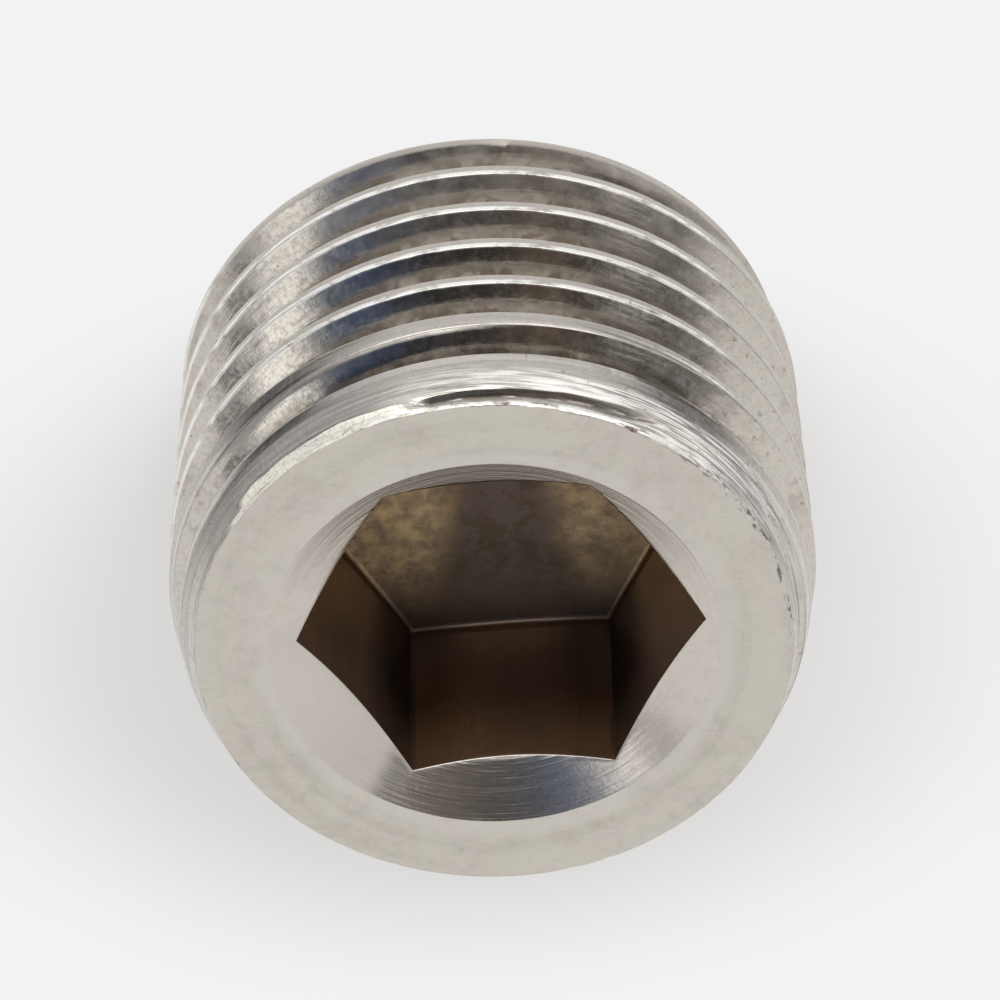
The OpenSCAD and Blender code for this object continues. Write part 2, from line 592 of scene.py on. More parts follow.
def scar_cut(form, turn, below, ragged):
    """Depth of the scar: a sloping flank, a shallower step beside it and a soft end."""
    s = form.s
    slope, fade = 1.5, 0.2 * MM
    lead = (math.degrees(turn - s.scar_dir) + 180) % 360 - 180
    into = s.scar_below - s.pitch * lead / 360 - below + 0.02 * ragged * MM
    flank_w = s.scar_depth / slope
    step_w = 1.5 * flank_w
    if into < flank_w:
        cut = max(0.0, into * slope)
    elif into < step_w:
        cut = s.scar_depth * (1 - 0.6 * (into / flank_w - 1) / 0.5)
    else:
        cut = 0.4 * s.scar_depth * max(0.0, 1 - (into - step_w) / fade)
    return cut * nearness(turn, s.scar_dir - math.radians(4), 18, 8)


def ledge_push(form, turn, below, ragged):
    """How far the ledge stands out: it gets steeper round the plug and ends ragged."""
    s = form.s
    past = math.degrees(turn - s.ledge_dir)
    steep = min(1.0, max(0.0, (past + 4.3) / 8))
    pushed = min((0.6 + 0.73 * steep) * max(0.0, below - 0.03 * MM),
                 max(0.0, s.ledge_w * 1.72 - below + 0.04 * ragged * MM))
    return pushed * (nearness(turn, s.ledge_dir, 16, 6) * (0.95 + 0.12 * ragged))


def collar_rise(form, turn, below):
    """How far the collar stands out of its cones: less in the scar, more on its ledge."""
    spot = Vector((math.cos(turn) * 9, math.sin(turn) * 9, below / MM * 2))
    ragged = noise.noise(spot) + 0.5 * noise.noise(spot * 2.7)
    return ledge_push(form, turn, below, ragged) - scar_cut(form, turn, below, ragged)


def collar_rings(form, edge):
    """Rings of the collar from the wound skin up to the socket face's rounded rim."""
    s = form.s
    first = form.face_r + s.collar_len * form.face_slope

    def place(turn, reach, _, below):
        fading = max(0.0, 1 - (s.collar_len - below) / COLLAR_FADE)
        radius = form.face_r + below * form.face_slope
        radius -= max(0.0, first - reach) * fading
        return radius + collar_rise(form, turn, below), s.plug_len - below

    return [edge] + [next_ring(form, edge, lambda *point, b=step * MM: place(*point, b))
                     for step in COLLAR_STEPS]


def torn_rim(form, edge):
    """Rings that round the edge of the socket face, with its burrs and nicks."""
    s = form.s

    def place(turn, reach, low, share):
        spot = Vector((math.cos(turn) * 14, math.sin(turn) * 14, 3.0))
        torn = noise.noise(spot) + 0.5 * noise.noise(spot * 3.1)
        nick = max(0.0, noise.noise(spot * 1.7 + Vector((9, 2, 5))) - 0.25)
        radius = reach - s.rim_round * (1 - share) * 0.6
        radius += (0.012 * torn * (1 - abs(2 * share - 1)) - 0.09 * nick * (1 - share)) * MM
        rise = (1 - share) ** 0.8 * (s.plug_len - low)
        return radius, low + rise - 0.05 * nick * MM * (1 - share) * share * 4

    return [edge] + [next_ring(form, edge, lambda *point, k=share: place(*point, k))
                     for share in (0.85, 0.45, 0.0)]


def hexagon_outline(form, turn, share=1.0):
    """(x, y) of the hexagon in one direction from its centre, shrunk by share."""
    reach = form.hexagon_r(turn) * share
    return (form.key_centre.x + reach * math.cos(turn),
            form.key_centre.y + reach * math.sin(turn))


def face_rings(form, rim):
    """Rings over the socket face, from its rim to the countersink."""
    def place(reach, share):
        return reach * (1 - share) + form.sink_r * share, form.s.plug_len

    return [next_ring(form, rim, lambda turn, reach, z, k=share: place(reach, k))
            for share in (0.02, 0.08, 0.2, 0.4, 0.6, 0.8, 0.93, 0.985)]


def sink_rings(form):
    """Rings from the edge of the countersink down to the hexagon's mouth."""
    edge = form.s.mouth_round

    def place(turn, share, lower=0.0):
        outer = (form.sink_r * math.cos(turn), form.sink_r * math.sin(turn))
        inner = hexagon_outline(form, turn)
        x = outer[0] + (inner[0] - outer[0]) * share
        y = outer[1] + (inner[1] - outer[1]) * share
        return x, y, form.sink_z(math.hypot(x, y)) - lower

    def ring(share, lower=0.0):
        return ring_points(form, lambda t: place(t, share, lower))

    def mouth(turn):
        x, y, z = place(turn, 1.0)
        reach = math.hypot(x - form.key_centre.x, y - form.key_centre.y)
        out = 1 + 0.3 * edge / reach
        x = form.key_centre.x + (x - form.key_centre.x) * out
        y = form.key_centre.y + (y - form.key_centre.y) * out
        return x, y, z - 0.3 * edge

    shares = (0.0, 0.03, 0.15, 0.3, 0.45, 0.6, 0.75, 0.88)
    near = ring_points(form, lambda t: place(t, 1 - edge / (form.sink_r - form.hexagon_r(t))))
    lip = ring_points(form, mouth)
    return [ring(share) for share in shares] + [near, lip]


def wall_rings(form):
    """Rings down the hexagon's six walls to its floor."""
    def place(turn, share, lift=0.0, inset=0.0):
        reach = form.hexagon_r(turn)
        x, y = hexagon_outline(form, turn, 1 - inset / reach)
        top = form.sink_z(math.hypot(*hexagon_outline(form, turn))) - form.s.mouth_round
        bottom = form.dish_z(reach) + FLOOR_FILLET
        return x, y, top + (bottom - top) * share + lift

    rings = [ring_points(form, lambda t, k=share: place(t, k))
             for share in (0.0, 0.02, 0.1, 0.25, 0.45, 0.65, 0.85, 0.96, 1.0)]
    for swept in (0.25, 0.5, 0.75, 1.0):
        turned = swept * math.pi / 2
        rings.append(ring_points(form, lambda t, w=turned: place(
            t, 1.0, -FLOOR_FILLET * math.sin(w), FLOOR_FILLET * (1 - math.cos(w)))))
    return rings


def floor_rings(form):
    """Rings over the dished floor, down to its centre."""
    def place(turn, share):
        reach = form.hexagon_r(turn)
        start = 1 - FLOOR_FILLET / reach
        x, y = hexagon_outline(form, turn, start * share)
        return x, y, form.dish_z(reach * share)

    return [ring_points(form, lambda t, k=share: place(t, k))
            for share in (0.97, 0.9, 0.75, 0.6, 0.45, 0.3, 0.15, 0.06)]


def nose_rings(form):
    return [circle(form, form.nose_r * share, 0.0)
            for share in (0.99, 0.96, 0.85, 0.7, 0.5, 0.3, 0.12)]


def add_rings(mesh, rings, material, pole=None):
    """Joins each ring to the next with faces, and the last one to a point where one is given."""
    rows = [[mesh.verts.new(point) for point in ring] for ring in rings]
    made = []
    for upper, lower in zip(rows, rows[1:]):
        count = len(upper)
        for i in range(count):
            j = (i + 1) % count
            made.append(mesh.faces.new((upper[i], upper[j], lower[j], lower[i])))
    if pole is not None:
        centre = mesh.verts.new(pole)
        last = rows[-1]
        for i, vert in enumerate(last):
            made.append(mesh.faces.new((vert, last[(i + 1) % len(last)], centre)))
    for face in made:
        face.material_index = material
        face.smooth = True


def close_ends(form, shell):
    """Adds the collar, both end faces and the socket to the wound skin."""
    collar = collar_rings(form, skin_edge(form, shell, form.top_z))
    rim = torn_rim(form, collar[-1])
    sink_part, wall_part, floor_part = sink_rings(form), wall_rings(form), floor_rings(form)
    add_rings(shell, collar, 0)
    add_rings(shell, rim, 0)
    add_rings(shell, [rim[-1], *face_rings(form, rim[-1]), sink_part[0]], 1)
    add_rings(shell, sink_part, 2)
    add_rings(shell, [sink_part[-1], *wall_part], 3)
    pole = (form.key_centre.x, form.key_centre.y, form.dish_z(0.0))
    add_rings(shell, [wall_part[-1], *floor_part], 3, pole)
    nose = [skin_edge(form, shell, 0.0), *nose_rings(form)]
    add_rings(shell, nose, 1, (0.0, 0.0, 0.0))


def plug_mesh(form, steels):
    """The whole plug as one closed mesh."""
    mesh = threaded_skin(form, steels[0])
    mesh.name = "pipe_plug_mesh"
    mesh.materials.clear()
    for steel in steels:
        mesh.materials.append(steel)
    shell = bmesh.new()
    shell.from_mesh(mesh)
    for face in shell.faces:
        face.material_index = 0
    close_ends(form, shell)
    bmesh.ops.remove_doubles(shell, verts=shell.verts, dist=MERGE)
    bmesh.ops.dissolve_degenerate(shell, edges=shell.edges, dist=SLIVER)
    bmesh.ops.recalc_face_normals(shell, faces=shell.faces)
    open_edges = [edge for edge in shell.edges if len(edge.link_faces) != 2]
    if open_edges:
        raise RuntimeError(f"the plug's skin has {len(open_edges)} open edges")
    shell.to_mesh(mesh)
    shell.free()
    mesh.set_sharp_from_angle(angle=SHARP)
    return mesh


# ---------------------------------------------------------------- steel

class Steel(Tree):
    """A material of bare steel. Places and reliefs in it are in millimetres."""

    def __init__(self, name):
        self.material = bpy.data.materials.new(name)
        super().__init__(emptied(self.material))
        self.place = self.millimetres()
        self.x, self.y, self.z = self.split(self.place)
        self.radius = self.x.reach(self.y)
        self.turn = self.y.math("ARCTAN2", self.x)
        self.cosine = self.turn.math("COSINE")
        self.sine = self.turn.math("SINE")

    def speckle(self, scale, detail=3.0, roughness=0.55, distortion=0.0):
        """Noise that is alike in all directions, with scale features to a millimetre."""
        return self.noise(self.place, scale, detail, roughness, distortion)

    def drawn(self, across, fine, turns, detail=3.0, roughness=0.6):
        """Noise drawn out round the axis: fine features to a millimetre across it."""
        spot = self.vector(self.cosine * turns, self.sine * turns, across * fine)
        return self.noise(spot, 1.0, detail, roughness)

    def towards(self, degrees, spread):
        """A mask, 1 in one direction from the axis, that fades out over spread degrees."""
        middle = math.radians(degrees)
        facing = self.cosine * math.cos(middle) + self.sine * math.sin(middle)
        return facing.ramp(math.cos(math.radians(spread)), 1.0)

    def lay(self, mask, colour):
        """Lays one more colour over the steel's own, as thick as the mask says."""
        self.base = self.blend(mask, self.base, colour)

    def finish(self, roughness, height, metallic=1.0):
        bump = self.add("ShaderNodeBump", None,
                        {"Strength": 1.0, "Distance": MM, "Height": height}, "Normal")
        shader = self.add("ShaderNodeBsdfPrincipled", None, {
            "Base Color": self.base, "Metallic": metallic, "Roughness": roughness,
            "Normal": bump})
        self.node("ShaderNodeOutputMaterial", None, {"Surface": shader})
        return self.material


def tone(red, green, blue):
    return red, green, blue, 1.0


BRIGHT = tone(0.635, 0.61, 0.555)
PINKISH = tone(0.655, 0.605, 0.565)
GREENISH = tone(0.585, 0.58, 0.52)
# TAN and BROWN are painted reflections in the thread's roots.
TAN = tone(0.68, 0.58, 0.47)
BROWN = tone(0.3, 0.245, 0.2)
# UMBER is painted shade in the grooves beside the front.
UMBER = tone(0.2, 0.17, 0.15)
LAST_GROOVE_SHADE = tone(0.08, 0.07, 0.062)
DULL = tone(0.36, 0.325, 0.29)
LINED = tone(0.27, 0.25, 0.235)
SHADED = tone(0.3, 0.29, 0.28)
HANDLED = tone(0.4, 0.36, 0.32)
SCARRED = tone(0.26, 0.225, 0.2)
STAIN = tone(0.26, 0.2, 0.16)
CHIP = tone(0.1, 0.085, 0.075)
GLINT = tone(0.96, 0.95, 0.91)
LEDGE_HIGHLIGHT = tone(0.86, 0.83, 0.74)
NOSE_LIGHT = tone(0.6, 0.58, 0.53)
FACE_PALE = tone(0.71, 0.67, 0.62)
FACE_INNER = tone(0.68, 0.66, 0.61)
SINK_HIGHLIGHT = tone(0.6, 0.565, 0.53)
# SINK_DARK is painted shade on the countersink.
SINK_DARK = tone(0.31, 0.3, 0.27)
WALL_TONES = tone(0.6, 0.455, 0.35), tone(0.73, 0.575, 0.46)
WALL_SHADE = tone(0.1, 0.078, 0.064)
FILLET_SHADE = tone(0.14, 0.1, 0.075)
GOLD_TONES = tone(0.47, 0.345, 0.195), tone(0.24, 0.18, 0.125)
GOLD_CLOUD = tone(0.2, 0.155, 0.12)
GOLD_SHADE = tone(0.3, 0.235, 0.19)
FAN_SHADE_TONES = tone(0.085, 0.063, 0.047), tone(0.115, 0.09, 0.074)
CHIPPED_DIR = 204.0


class ThreadedSteel(Steel):
    """Steel of the thread, the shoulder and both chamfers: cut by tools that went round."""

    def __init__(self, form):
        super().__init__("threaded_steel")
        self.find_thread(form)
        self.find_collar(form)
        self.find_noises()

    def find_thread(self, form):
        """Where a point lies across the thread and how deep it lies in the groove."""
        s = form.s
        pitch, soft = s.pitch / MM, 0.015
        crest_low = form.groove_half_w / MM
        crest_high = self.crest_high = pitch - crest_low
        helix = (self.turn - s.start_dir) * (pitch / math.tau)
        self.along = (self.z - helix).wrapped(pitch)
        self.crest = self.along.band(crest_low - soft, crest_low + soft,
                                     crest_high - soft, crest_high + soft)
        crest_r = form.crest_r(0.0) / MM + self.z * s.taper
        self.deep = (crest_r - self.radius) / (form.thread_depth / MM)

    def find_collar(self, form):
        """Where the cones of both chamfers and of the shoulder are the surface."""
        s = form.s
        self.below_face = s.plug_len / MM - self.z
        below_neck = self.below_face - s.face_chamfer_len / MM
        chamfer_r = form.face_r / MM + self.below_face * form.face_slope
        shoulder_r = form.neck_r / MM + below_neck * form.shoulder_slope
        self.nose_r = form.nose_r / MM + self.z * form.nose_slope
        self.collar_r = chamfer_r.least(shoulder_r).least(self.nose_r)
        self.collar = (self.collar_r - self.radius).ramp(0.03, 0.012)
        self.lip = (self.radius - self.collar_r).ramp(0.01, 0.04)
        self.upper = self.below_face.ramp(1.0, 0.7)
        self.grooved = self.below_face.ramp(0.6, 0.9) * (1.0 - self.collar)

    def find_noises(self):
        self.wave = self.speckle(0.9, 1.0, 0.5)
        self.patch = self.speckle(2.6, 3.0, 0.6, 0.3)
        self.cloud = self.speckle(1.1, 3.0, 0.6, 0.4)
        self.grit = self.speckle(15.0, 2.0, 0.6)
        self.grain = self.speckle(9.0, 3.0, 0.7).ramp(0.42, 0.68)
        self.streak = self.drawn(self.along, 14.0, 4.0)
        self.hair = self.drawn(self.along, 50.0, 18.0, 2.0)
        self.turned = self.drawn(self.below_face, 15.0, 1.8, 3.0, 0.68)
        self.turned_fine = self.drawn(self.below_face, 26.0, 6.0, 2.0, 0.6)
        self.torn = self.drawn(self.below_face, 9.0, 17.0, 2.0, 0.6)

    def colour_all_over(self):
        """The bare steel, its greenish streaks, its dull patches and its grain."""
        patch = self.patch
        self.base = self.blend(patch.ramp(0.35, 0.65), BRIGHT, PINKISH)
        self.lay(self.streak.ramp(0.45, 0.75) * 0.4, GREENISH)
        dull = self.cloud.ramp(0.5, 0.7) * patch.ramp(0.35, 0.6)
        self.lay(dull * (1.0 - self.crest) * 0.55, DULL)
        self.lay(self.grain * 0.22, DULL)

    def colour_grooves(self):
        """Painted shade on the flanks in front, painted tan and brown reflections in the roots,
        and painted shade in the last groove and in the grooves beside the front.
        """
        patch, deep, grooved = self.patch, self.deep, self.grooved
        # Painted shade: the flanks on the front side are laid darker.
        front_flank_shade = deep.band(0.03, 0.1, 0.42, 0.62) * grooved * self.towards(264, 62)
        self.lay(front_flank_shade * (patch.ramp(0.62, 0.42) * 0.5 + 0.3), DULL)
        # Painted reflection: warm tan in the roots all round.
        tan = deep.ramp(0.5, 0.75) * grooved
        self.lay(tan * (patch.ramp(0.4, 0.6) * 0.5 + 0.25), TAN)
        # Painted reflection: brown patches in the roots on the front side.
        brown_reflection = self.speckle(1.6, 3.0, 0.65, 0.6).ramp(0.44, 0.58)
        brown_reflection = brown_reflection * deep.ramp(0.35, 0.6) * grooved * self.towards(264, 80)
        self.lay(brown_reflection * 0.85, BROWN)
        # Painted shade: the last groove under the face, on the front side, is laid near black.
        last = self.below_face.ramp(2.1, 1.3) * deep.ramp(0.3, 0.5) * grooved
        last = last * self.towards(256, 75)
        self.lay(last * (patch.ramp(0.6, 0.4) * 0.25 + 0.68), LAST_GROOVE_SHADE)
        # Painted shade: the grooves to either side of the front are laid darker.
        beside = 1.0 - self.towards(266, 24).ramp(0.0, 0.5)
        beside = beside * self.towards(262, 40).ramp(0.0, 0.3)
        self.lay(beside * deep.ramp(0.35, 0.55) * grooved * 0.7, UMBER)

    def colour_collar(self):
        """Turned lines on the collar, its shade and the glints on its upper part."""
        plain = self.collar * (1.0 - self.lip)
        lines = self.turned.ramp(0.48, 0.62) * 0.8
        lines = lines + self.turned_fine.ramp(0.52, 0.72) * 0.2
        share = self.towards(262, 80) * 0.25 + self.upper * 0.5 + 0.15
        self.lay(lines * share * plain, LINED)
        self.lay(self.towards(304, 25) * plain * 0.6, SHADED)
        lit = self.turned_fine.ramp(0.44, 0.58) * self.upper * self.collar
        self.lit = lit * self.towards(240, 54)
        self.lay(self.lit * 0.8, GLINT)

    def colour_crests(self):
        """Dull crests, with a painted highlight along their upper edge."""
        along, edge = self.along, self.crest_high
        # Painted highlight: a broken bright line along each crest's upper edge.
        crest_edge_highlight = along.band(edge - 0.11, edge - 0.07, edge + 0.01, edge + 0.03)
        crest_edge_highlight = crest_edge_highlight * self.towards(288, 78).ramp(0.0, 0.2) * (1.0 - self.collar)
        self.crest_edge_highlight = crest_edge_highlight * self.drawn(along, 5.0, 12.0, 3.0).ramp(0.34, 0.52)
        self.lay(self.crest * 0.28, DULL)
        self.lay(self.crest_edge_highlight * 0.9, GLINT)

    def colour_edges(self):
        """Painted highlights: whitish on the ledge of torn metal, a broken line round the rim of
        the face, and a band on the far edge of the nose.
        """
        below, streak = self.below_face, self.streak
        # Painted highlight: the ledge is real pushed-up metal, laid whitish.
        ledge = self.lip.most(below.ramp(0.14, 0.09)) * below.ramp(0.42, 0.32)
        self.ledge = ledge * self.towards(300, 30).ramp(0.0, 0.3)
        pitted = self.turned_fine.ramp(0.5, 0.62) + self.grit.ramp(0.5, 0.62)
        self.lay(self.ledge, self.blend(pitted * 0.35, LEDGE_HIGHLIGHT, DULL))
        lipped = below.ramp(0.15, 0.06) * self.towards(250, 62)
        # Painted highlight: a broken bright line round the rim of the face.
        self.lip_lit = lipped * self.torn.ramp(0.46, 0.56)
        self.lay(self.lip_lit, GLINT)
        # Painted highlight: a pale band on the far edge of the nose.
        nose_edge_highlight = (self.nose_r - self.radius).ramp(0.2, 0.08) * self.z.ramp(1.9, 1.6)
        self.nose_edge_highlight = nose_edge_highlight * self.towards(262, 75).ramp(0.0, 0.3)
        self.lay(self.nose_edge_highlight, self.blend(streak, NOSE_LIGHT, DULL))
        self.lay(lipped * self.torn.ramp(0.44, 0.36), STAIN)

    def colour_wear(self):
        """Flecks, chips in the rim, handled grooves towards the nose, and the scar."""
        below = self.below_face
        sides = self.towards(196, 60) * 0.05 + self.towards(340, 40) * 0.03
        fleck = (self.speckle(5.0, 3.0, 0.6, 0.2) + sides).ramp(0.66, 0.76)
        self.lay(fleck * 0.6, STAIN)
        chip = self.torn.ramp(0.5, 0.62) * below.ramp(0.12, 0.05)
        self.lay(chip * self.towards(CHIPPED_DIR, 38) * 0.85, CHIP)
        handled = below.ramp(4.5, 8.5) * (self.cloud.ramp(0.3, 0.7) * 0.24 + 0.1)
        self.handled = handled * (1.0 - self.crest) * (1.0 - self.collar)
        self.lay(self.handled, HANDLED)
        self.scar = (self.collar_r - self.radius).ramp(0.02, 0.05) * below.ramp(0.55, 0.5)
        self.lay(self.scar * (self.turned_fine.ramp(0.4, 0.6) * 0.5 + 0.3), SCARRED)

    def relief(self):
        """Height of the tool marks and dents on flanks, crests, collar and ledge."""
        patch, grit, hair, upper = self.patch, self.grit, self.hair, self.upper
        height = self.wave * 0.017 + patch * 0.003 + self.streak * 0.004
        height = height + hair * 0.0006 + grit * 0.0008
        on_crest = grit * 0.0022 + hair * 0.0016 + patch * 0.004
        height = height + (on_crest - height) * self.crest
        striped = upper * self.towards(258, 62) * 0.009 + upper * 0.002 + 0.002
        on_collar = self.turned * striped + self.turned_fine * 0.002 + patch * 0.003
        height = height + (on_collar - height) * (self.collar - self.lip)
        return height + (self.turned_fine + grit) * 0.004 * self.ledge

    def roughness(self):
        """Smooth flanks, rougher crests and collar, rougher still where metal was torn, and
        roughest under the painted highlight on the nose's far edge.
        """
        rough = self.patch * 0.1 + self.grain * 0.1 + 0.08
        rough = rough + self.crest.most((self.collar - self.lip) * self.upper) * 0.12
        rough = rough + (0.36 - rough) * self.ledge.most(self.scar * 0.6)
        return rough + (0.45 - rough) * self.nose_edge_highlight

    def scattering(self):
        """How much the torn and handled places and the painted highlights scatter light instead of
        mirroring it.
        """
        torn = (self.ledge * 0.55).most(self.lip_lit * 0.5).most(self.nose_edge_highlight * 0.85)
        return torn.most(self.crest_edge_highlight * 0.28).most(self.lit * 0.4).most(self.handled)


def threaded_steel(form):
    steel = ThreadedSteel(form)
    for colour_part in (steel.colour_all_over, steel.colour_grooves, steel.colour_collar,
                        steel.colour_crests, steel.colour_edges, steel.colour_wear):
        colour_part()
    return steel.finish(steel.roughness(), steel.relief(), 1.0 - steel.scattering())


def chip_face(steel, form):
    """Dark chips in the rim of the socket face."""
    near_rim = (form.face_r / MM - steel.radius).ramp(0.12, 0.04)
    chip = steel.drawn(steel.radius, 9.0, 17.0, 2.0, 0.6).ramp(0.52, 0.62) * near_rim
    steel.lay(chip * steel.towards(CHIPPED_DIR, 38) * 0.85, CHIP)


def faced_steel(form):
    """Socket face and nose face: faced off with a fine feed, then handled."""
    steel = Steel("faced_steel")
    ring = steel.drawn(steel.radius, 2.2, 0.8, 2.0, 0.5)
    groove = steel.drawn(steel.radius, 24.0, 2.5, 3.0, 0.6)
    grit = steel.speckle(20.0, 3.0, 0.65)
    cloud = steel.speckle(0.75, 3.0, 0.6, 0.5)
    patch = steel.speckle(2.4, 3.0, 0.6, 0.3)
    steel.base = steel.blend(cloud.ramp(0.38, 0.62), BRIGHT, PINKISH)
    tinged = patch.ramp(0.3, 0.72) * ring.ramp(0.3, 0.65)
    steel.lay(tinged * 0.75 + 0.1, GREENISH)
    steel.lay(steel.speckle(8.0, 3.0, 0.7).ramp(0.45, 0.7) * 0.14, DULL)
    steel.lay(ring.ramp(0.52, 0.66) * 0.16, DULL)
    steel.lay(cloud.ramp(0.55, 0.4) * 0.3, FACE_PALE)
    sink_r = form.sink_r / MM
    steel.lay(steel.radius.ramp(sink_r + 0.5, sink_r + 0.15) * 0.45, FACE_INNER)
    steel.lay((cloud * 0.5 + patch * 0.5).ramp(0.5, 0.66) * 0.14, DULL)
    steel.lay(steel.speckle(5.0, 3.0, 0.6, 0.2).ramp(0.7, 0.8) * 0.5, DULL)
    chip_face(steel, form)
    drag = steel.noise(steel.vector(steel.x * 2.0, steel.y * 16.0, 0.0), 1.0, 3.0, 0.7)
    steel.lay(drag.ramp(0.5, 0.75) * 0.16, DULL)
    height = ring * 0.004 + groove * 0.0016 + grit * 0.002 + patch * 0.004 + drag * 0.0016
    return steel.finish(0.3 + ring * 0.08 + grit * 0.08 + patch * 0.06, height)


def sunk_steel(form):
    """Countersink: turned with steps too fine to count and scuffed by keys, with a painted
    highlight on one side and painted shade on its -Y side.
    """
    steel = Steel("sunk_steel")
    step = steel.drawn(steel.radius, 11.0, 0.9, 3.0, 0.65)
    fine = steel.drawn(steel.radius, 36.0, 3.0, 2.0, 0.6)
    grit = steel.speckle(16.0, 2.0, 0.6)
    scuff = steel.speckle(3.4, 3.0, 0.65, 0.6)
    steel.base = steel.blend(step.ramp(0.4, 0.7) * 0.5, PINKISH, GREENISH)
    steel.lay(scuff.ramp(0.35, 0.75) * 0.15, DULL)
    # Painted highlight: paler, rougher and less metallic on one side.
    pale_side_highlight = steel.towards(22, 36).ramp(0.0, 0.4)
    steel.lay(pale_side_highlight * 0.6, SINK_HIGHLIGHT)
    # Painted shade: the turned steps are laid darker on the -Y side.
    above = steel.towards(265, 80)
    steel.lay(above * step.ramp(0.3, 0.55) * 0.8, SINK_DARK)
    ringed = above.most(steel.towards(88, 62)) * 0.8 + 0.1
    steel.lay(fine.ramp(0.5, 0.68) * ringed * 0.35, DULL)
    height = step * (ringed * 0.009 + 0.003) + fine * 0.0016 + grit * 0.0014 + scuff * 0.004
    return steel.finish(0.15 + grit * 0.08 + scuff * 0.1 + pale_side_highlight * 0.2, height,
                        1.0 - pale_side_highlight * 0.4)


def wall_colour(steel, drag, fillet):
    """Brownish drag marks, with painted shade: darker low down, off the middle of the +Y side, on
    the +X side and along the fillet to the floor.
    """
    low = steel.z.ramp(9.7, 7.0) * 0.6
    corner = (steel.x + 0.1).size().ramp(0.4, 1.8) * 0.45
    shade = steel.y.ramp(1.4, 2.9) * (low + corner)
    shade = shade.most(steel.z.ramp(8.2, 5.6) * 0.5)
    shade = shade.most(steel.x.ramp(2.0, 3.4) * steel.z.ramp(9.5, 7.0) * 0.42)
    wall = steel.blend(drag, *WALL_TONES)
    wall = steel.blend(shade, wall, WALL_SHADE)
    return steel.blend(fillet * 0.6, wall, FILLET_SHADE)


def floor_tint(steel, cloud, mottle):
    """Golden mottling, with painted shade: a dark fan that opens from the middle of the floor, and
    a darker +Y side.
    """
    gold = steel.blend(mottle.ramp(0.28, 0.72), *GOLD_TONES)
    gold = steel.blend(cloud.ramp(0.45, 0.65) * 0.5, gold, GOLD_CLOUD)
    # Painted shade: a dark fan that opens from the middle of the floor.
    dark = steel.blend(mottle.ramp(0.4, 0.6), *FAN_SHADE_TONES)
    half_w = steel.y * 0.22 + 0.85
    off_middle = (steel.x + 0.15).size() + (cloud - 0.5) * 1.1
    gold = steel.blend((off_middle - half_w).ramp(0.6, -0.4), gold, dark)
    # Painted shade: the floor is laid darker towards its +Y side.
    return steel.blend(steel.y.ramp(1.6, 3.2) * 0.6, gold, GOLD_SHADE)


def punched_steel(form):
    """Walls and floor of the socket: punched, with drag marks down the walls, and darkened by
    painted shade.
    """
    steel = Steel("punched_steel")
    floor_z = form.floor_z / MM
    floor = steel.z.ramp(floor_z + 0.02, floor_z - 0.08)
    fillet = steel.z.ramp(floor_z + 0.22, floor_z + 0.14) * (1.0 - floor)
    cloud = steel.speckle(0.9, 3.0, 0.6, 0.6)
    mottle = steel.speckle(2.6, 3.0, 0.65, 0.3)
    drag_place = steel.vector(steel.x * 6.0, steel.y * 6.0, steel.z * 0.35)
    drag = steel.noise(drag_place, 1.0, 3.0, 0.6)
    wall = wall_colour(steel, drag, fillet)
    steel.base = steel.blend(floor, wall, floor_tint(steel, cloud, mottle))
    height = drag * 0.008 * (1.0 - floor) + (mottle * 0.006 + cloud * 0.015) * floor
    return steel.finish(0.3 + mottle * 0.12 + fillet * 0.15, height)


# ---------------------------------------------------------------- operators

class PLUG_OT_build_plug(bpy.types.Operator):
    """Builds the threaded plug round its CAD node"""

    bl_idname = "plug.build_plug"
    bl_label = "Build plug"

    def execute(self, context):
        form = Form(context.scene.plug_sizes)
        steels = [threaded_steel(form), faced_steel(form), sunk_steel(form),
                  punched_steel(form)]
        plug = placed("turned_plug", plug_mesh(form, steels))
        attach(plug, BODY)
        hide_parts(NODE)
        return {"FINISHED"}


BACKDROP = tone(0.888, 0.888, 0.888)
PAINTED_FLAG_TONE = tone(0.11, 0.11, 0.115)
SENSOR_W = 36.0
CLIP = 0.01, 10.0
SHADOW_X, SHADOW_Y = 0.8, 7.5  # middle of the patch of floor that keeps the plug's shadow
SHADOW_FADE = 6.5, 12.5  # distances from there between which it fades into the backdrop
KEY_PLACE = Vector((-0.17, -0.66, 0.5))
KEY_ASPECT = 0.65
PLUG_MIDDLE = Vector((0, 0, 5 * MM))


def aimed(position, target, roll=0.0):
    """A matrix that stands at position and looks at target."""
    back = (position - target).normalized()
    right = Vector((0, 0, 1)).cross(back).normalized()
    up = back.cross(right)
    turned = Matrix((right, up, back)).transposed().to_4x4()
    return Matrix.Translation(position) @ turned @ Matrix.Rotation(roll, 4, "Z")


def add_camera(scene, studio):
    data = bpy.data.cameras.new("camera")
    data.sensor_width = SENSOR_W
    data.lens = studio.lens / MM
    data.clip_start, data.clip_end = CLIP
    camera = placed("camera", data)
    flat = math.cos(studio.elevation)
    back = Vector((math.sin(studio.azimuth) * flat, -math.cos(studio.azimuth) * flat,
                   math.sin(studio.elevation)))
    target = Vector(studio.aim)
    camera.matrix_world = aimed(target + back * studio.distance, target, studio.roll)
    scene.camera = camera


def painted_flag_share(tree, x, y):
    """Where the floor shows glossy rays two dark patches beside the plug: painted reflections of
    flags, mirrored in its steel.
    """
    away = x.reach(y)
    turn = x.size().math("ARCTAN2", -y).math("DEGREES")
    turned = turn - (away - 12.0) * 3.0
    return turned.band(20.0, 28.0, 51.0, 68.0) * away.band(9.5, 15.0, 26.0, 36.0)


